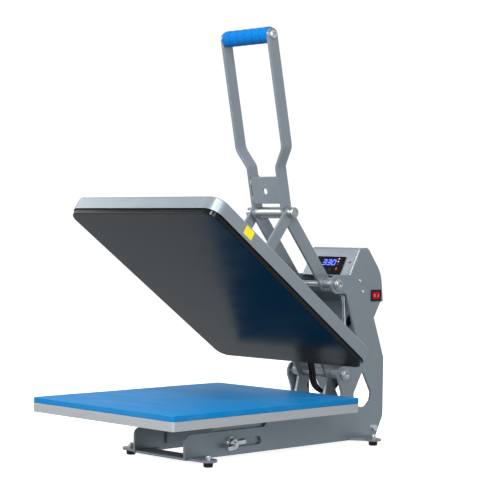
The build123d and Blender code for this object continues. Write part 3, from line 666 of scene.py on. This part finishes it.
# Foam sleeve, in millimetres: grooves a pitch apart, rings that sag a little towards them, rounded ends and
# an uneven skin.
GROOVES, GROOVE_PITCH, GROOVE_DEPTH, GROOVE_WIDTH = (-2, -1, 0, 1, 2), 21, 1.9, 1.5
RING_SAG, RING_SAG_REACH = 0.5, 9
END_DROP, END_DROP_REACH = 2.4, 2.5
SKIN_UNEVENNESS, SKIN_WAVES_PER_METRE = 0.25, 120
FOAM_STEPS = 180


def add_foam_grip(materials):
    """Ribbed foam sleeve: six soft rings between five grooves."""
    low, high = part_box("foam_grip")
    middle, radius, half = (low + high) / 2, (high.z - low.z) / 2, (high.x - low.x) / 2
    pitch = GROOVE_PITCH * MM
    profile = []
    for i in range(FOAM_STEPS + 1):
        x = -half + 2 * half * i / FOAM_STEPS
        groove = min(abs(x - n * pitch) for n in GROOVES)
        end = half - abs(x)
        r = radius - GROOVE_DEPTH * MM * math.exp(-(groove / (GROOVE_WIDTH * MM)) ** 2)
        r -= RING_SAG * MM * (1 - min(1.0, groove / (RING_SAG_REACH * MM))) ** 2
        r -= END_DROP * MM * max(0.0, 1 - end / (END_DROP_REACH * MM)) ** 2
        profile.append((x, r))
    points, faces = turned_parts(profile, middle, 72)
    for point in points:
        spoke = Vector((0, point.y - middle.y, point.z - middle.z))
        point += spoke.normalized() * noise.noise(point * SKIN_WAVES_PER_METRE) * SKIN_UNEVENNESS * MM
    mesh = mesh_from("ribbed_foam", points, faces)
    grip = add_piece("ribbed_foam", mesh, materials["blue_foam"], "lever")
    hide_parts("foam_grip")


# ---------------------------------------------------------------- display
# Where the middle of the mode key is, right, up and out in millimetres. The fillet on its top sets the middle
# of its box 0.15 mm further in, so the origin of the places below is that far behind the face of the box.
MODE_KEY_SPOT = (-23.0, -11.5, -0.25)


class Panel:
    """Places on the display, as (right, up, out) in millimetres from just behind the middle of its seat."""

    def __init__(self):
        press = next(j for j in frame["joints"] if j["name"] == "mode_key_press")
        self.out = -Vector(press["axis"]).normalized()
        self.up = self.out.cross(Vector((1, 0, 0)))
        self.origin = centre("mode_key") - self.vector(*MODE_KEY_SPOT)

    def vector(self, right, up, out):
        return (Vector((1, 0, 0)) * right + self.up * up + self.out * out) * MM

    def spot(self, right, up, out):
        return self.origin + self.vector(right, up, out)

    def plate(self, outline, low, high):
        """Points and faces of a thin flat plate with that outline."""
        count = len(outline)
        points = [self.spot(x, y, z) for z in (low, high) for x, y in outline]
        faces = [tuple(reversed(range(count))), tuple(range(count, 2 * count))]
        faces += [(i, (i + 1) % count, count + (i + 1) % count, count + i) for i in range(count)]
        return points, faces


DIGIT_SEGMENTS = {"3": "abcdg", "0": "abcdef"}
DIGIT_SIZE, DIGIT_GAP, SLANT = (8.8, 12.0), 4.4, 0.14
READING, FIRST_DIGIT = "330", (-15.4, 7.2)
BAR_SETBACK = 0.9
HALO_THICKNESS, CORE_THICKNESS = 4.6, 1.4

# How far out each lit or printed face starts and ends, in millimetres. By the same measure the floor of the
# window is at 1.65, the fascia at 2.15, its lamp domes at 2.75 and the tops of the keys at 3.05. So the glow
# of the window and the marks on the fascia and the keys lie 0.09 mm under those faces, and don't show.
WINDOW_RISE, HALO_RISE, CORE_RISE = (1.42, 1.56), (1.55, 1.68), (1.66, 1.8)
PALE_LAMP_RISE, RED_LAMP_RISE = (2.55, 2.75), (2.0, 2.75)
FASCIA_MARK_RISE, KEY_MARK_RISE = (1.98, 2.06), (2.88, 2.96)

# Right, up, width and height.
WINDOW = (-3.25, 9, 46.5, 17)
FASCIA_MARKS = ((33.5, 15.3, 3.4, 0.9), (33.5, 3.4, 3.4, 0.9), (33.5, -6.9, 3.4, 0.9), (33.5, 9.3, 2.2, 0.7))
# Right, up and radius. All but the last lie on the lamp domes. The last, a sign, also has its number of sides
# and how far it is stretched upwards.
PALE_LAMPS = ((23.7, 16, 1.8), (24, 9.3, 1.8))
RED_LAMPS = ((24.4, 2.7, 1.15), (25, -8.2, 2.3, 24, 1.35))

KEY_ROW = -11.5
KEYS = (("mode_key", "mode_button", -23), ("down_key", "down_button", -8), ("up_key", "up_button", 7))
KEY_DOT, KEY_ARROW_HALF, KEY_ARROW_TIP = 1.3, 1.5, 1.6


def digit_bars(text, right, up, thick):
    """Outlines of the lit bars of slanted seven-bar digits."""
    wide, tall = DIGIT_SIZE
    w, h = wide / 2, tall / 2
    ends = {"a": ((-w, h), (w, h)), "b": ((w, h), (w, 0)), "c": ((w, 0), (w, -h)), "d": ((-w, -h), (w, -h)),
            "e": ((-w, 0), (-w, -h)), "f": ((-w, h), (-w, 0)), "g": ((-w, 0), (w, 0))}
    bars = []
    for place, digit in enumerate(text):
        for bar in DIGIT_SEGMENTS[digit]:
            start, end = (Vector(p) for p in ends[bar])
            along = (end - start).normalized()
            across = Vector((-along.y, along.x)) * thick / 2
            start, end = start + along * BAR_SETBACK, end - along * BAR_SETBACK
            tip = along * thick / 2
            outline = [start - tip, start + across, end + across, end + tip, end - across, start - across]
            shift = right + place * (wide + DIGIT_GAP)
            bars.append([(p.x + shift + p.y * SLANT, p.y + up) for p in outline])
    return bars


def round_outline(x, y, radius, sides=20, squeeze=1.0):
    turn = [2 * math.pi * k / sides for k in range(sides)]
    return [(x + radius * math.cos(a), y + squeeze * radius * math.sin(a)) for a in turn]


def bar_outline(x, y, wide, tall):
    return [(x - wide / 2, y - tall / 2), (x + wide / 2, y - tall / 2),
            (x + wide / 2, y + tall / 2), (x - wide / 2, y + tall / 2)]


def key_mark(node, right):
    """A dot on the mode key, and an arrow up or down on the other two."""
    if node == "mode_key":
        return round_outline(right, KEY_ROW, KEY_DOT)
    tip = KEY_ARROW_TIP if node == "up_key" else -KEY_ARROW_TIP
    return [(right - KEY_ARROW_HALF, KEY_ROW - tip / 2), (right + KEY_ARROW_HALF, KEY_ROW - tip / 2),
            (right, KEY_ROW + tip)]


def add_display():
    panel = Panel()

    def lit(name, outlines, rise, material, body="frame"):
        points, faces = merge_parts([panel.plate(outline, *rise) for outline in outlines])
        add_piece(name, mesh_from(name, points, faces), material, body, smooth=False)

    lit("digit_window", [bar_outline(*WINDOW)], WINDOW_RISE, glow("window_glow", (0.0, 0.004, 0.09), 1.0))
    lit("digit_halo", digit_bars(READING, *FIRST_DIGIT, HALO_THICKNESS), HALO_RISE,
        glow("digit_halo", (0.0, 0.03, 0.8), 1.2))
    lit("digit_bars", digit_bars(READING, *FIRST_DIGIT, CORE_THICKNESS), CORE_RISE,
        glow("digit_core", (0.24, 0.36, 1.0), 1.25))
    warm = glow("status_lamp_pale", (1.0, 0.62, 0.6), 1.2)
    red = glow("status_lamp_red", (0.75, 0.01, 0.01), 0.9)
    lit("status_lamps_pale", [round_outline(*lamp) for lamp in PALE_LAMPS], PALE_LAMP_RISE, warm)
    lit("status_lamps_red", [round_outline(*lamp) for lamp in RED_LAMPS], RED_LAMP_RISE, red)
    dim = print_ink("dim_marks", (0.2, 0.2, 0.21))
    lit("fascia_marks", [bar_outline(*mark) for mark in FASCIA_MARKS], FASCIA_MARK_RISE, dim)
    for node, body, right in KEYS:
        lit(f"{node}_mark", [key_mark(node, right)], KEY_MARK_RISE, dim, body)


# ---------------------------------------------------------------- rocker
# Where the rocker's crease is, as a part of its length from the front. The rest are millimetres: how deep the
# crease and the pressed front end lie, how far the marks start out from the line between crease and end, how
# far they rise, and their sizes.
CREASE_PLACE, CREASE_DEPTH, PRESSED_DEPTH = 0.54, 2.8, 3.6
MARK_STANDOFF, MARK_LIFT = 0.3, 0.16
RING_RADIUS, RING_HALF_WIDTH, RING_SIDES = 2.1, 0.4, 24
STROKE_HALF_LENGTH, STROKE_HALF_WIDTH = 2.3, 0.45
UP = Vector((0, 0, 1))


def ring_mark(middle, along, out):
    line = [middle + (along * math.cos(a) + UP * math.sin(a)) * RING_RADIUS * MM
            for a in (2 * math.pi * k / RING_SIDES for k in range(RING_SIDES))]
    points, faces = [], []
    wide = RING_HALF_WIDTH
    for spot in line:
        spoke = (spot - middle).normalized()
        for side, lift in ((-wide, 0), (-wide, MARK_LIFT), (wide, MARK_LIFT), (wide, 0)):
            points.append(spot + spoke * side * MM + out * lift * MM)
    for i in range(RING_SIDES):
        for k in range(4):
            here, after = i * 4, (i + 1) % RING_SIDES * 4
            faces.append((here + k, here + (k + 1) % 4, after + (k + 1) % 4, after + k))
    return points, faces


def stroke_mark(middle, along, out):
    half_z, half_y, lift = STROKE_HALF_LENGTH * MM, STROKE_HALF_WIDTH * MM, MARK_LIFT * MM
    corners = ((-half_y, -half_z), (half_y, -half_z), (half_y, half_z), (-half_y, half_z))
    points = [middle + along * a + UP * b + out * c for c in (0, lift) for a, b in corners]
    faces = [(0, 1, 2, 3), (7, 6, 5, 4)] + [(i, (i + 1) % 4, 4 + (i + 1) % 4, 4 + i) for i in range(4)]
    return points, faces


def add_rocker_marks():
    """Ring on the pressed front half of the rocker and bar on the raised rear one."""
    low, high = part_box("power_rocker")
    middle_z = (low.z + high.z) / 2
    hinge_y = low.y + CREASE_PLACE * (high.y - low.y)
    crease = Vector((high.x - CREASE_DEPTH * MM, hinge_y, middle_z))
    front = Vector((high.x - PRESSED_DEPTH * MM, low.y, middle_z))
    rear = Vector((high.x, high.y, middle_z))
    parts = []
    for mark, end in ((ring_mark, front), (stroke_mark, rear)):
        along = (end - crease).normalized()
        out = UP.cross(along)
        out = out if out.x > 0 else -out
        middle = crease.lerp(end, 0.5) + out * MARK_STANDOFF * MM
        parts.append(mark(middle, along, out))
    points, faces = merge_parts(parts)
    mesh, white = mesh_from("rocker_marks", points, faces), print_ink("white_marks", (0.85, 0.82, 0.8))
    add_piece("rocker_marks", mesh, white, "rocker", smooth=False)


# ---------------------------------------------------------------- welds
# Weld beads, in millimetres: the radius, the steps along one and the pitch of its ripples.
BEAD_RADIUS, BEAD_STEP, RIPPLE_PITCH = 1.5, 0.45, 2.3
WANDERS_PER_METRE, SWELLS_PER_METRE = 90, 60
WANDER = 0.3
# How far the middle of the bracket's welds is from the elbow along the lever, how far in from the bracket's
# sides and how far out on its face they lie, and where they start and end: two on the left side, one on the
# right.
WELD_RISE, WELD_INSET, WELD_FACE = 49.2, 0.4, 12.3
WELD_SPANS = ((-1, ((-26, -12), (10, 24))), (1, ((-26, 26),)))


def bead(start, end, radius, seed):
    """A hand-laid weld bead: a tube of overlapping ripples, uneven in width and line."""
    start, end = Vector(start), Vector(end)
    length = (end - start).length
    count = max(12, int(length / (BEAD_STEP * MM)))
    line, radii = [], []
    for i in range(count + 1):
        along = i / count
        spot = start.lerp(end, along)
        wander = Vector((noise.noise(Vector((seed, along * length * WANDERS_PER_METRE, k)))
                         for k in (0.1, 7.3, 13.9)))
        line.append(spot + wander * radius * WANDER)
        ripple = abs(math.sin(math.pi * along * length / (RIPPLE_PITCH * MM)))
        uneven = noise.noise(Vector((seed, along * length * SWELLS_PER_METRE, 3)))
        swell = 0.78 + 0.22 * ripple + 0.2 * uneven
        taper = min(1.0, 0.35 + min(i, count - i) / 4)
        radii.append(radius * swell * taper)
    return tube_parts(line, radii, 12)


def add_welds(materials):
    _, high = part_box("handle_bracket")
    grip, elbow = centre("grip_rod"), centre("elbow_shaft")
    up = Vector((0, grip.y - elbow.y, grip.z - elbow.z)).normalized()
    out = Vector((0, -up.z, up.y))
    middle = elbow + up * WELD_RISE * MM
    edge, face = high.x - WELD_INSET * MM, out * WELD_FACE * MM
    parts = []
    for side, spans in WELD_SPANS:
        for number, span in enumerate(spans):
            start, end = (Vector((side * edge, 0, 0)) + middle + up * s * MM + face for s in span)
            parts.append(bead(start, end, BEAD_RADIUS * MM, 3 * number + side + 5))
    points, faces = merge_parts(parts)
    mesh = mesh_from("bracket_welds", points, faces)
    add_piece("bracket_welds", mesh, materials["grey_coat"], "lever")


def main():
    add_camera()
    add_studio()
    materials = make_materials()
    finish_cad_nodes(materials)
    add_heater_cables(materials)
    add_silicone_pad(materials)
    add_foam_grip(materials)
    add_display()
    add_rocker_marks()
    add_welds(materials)


main()
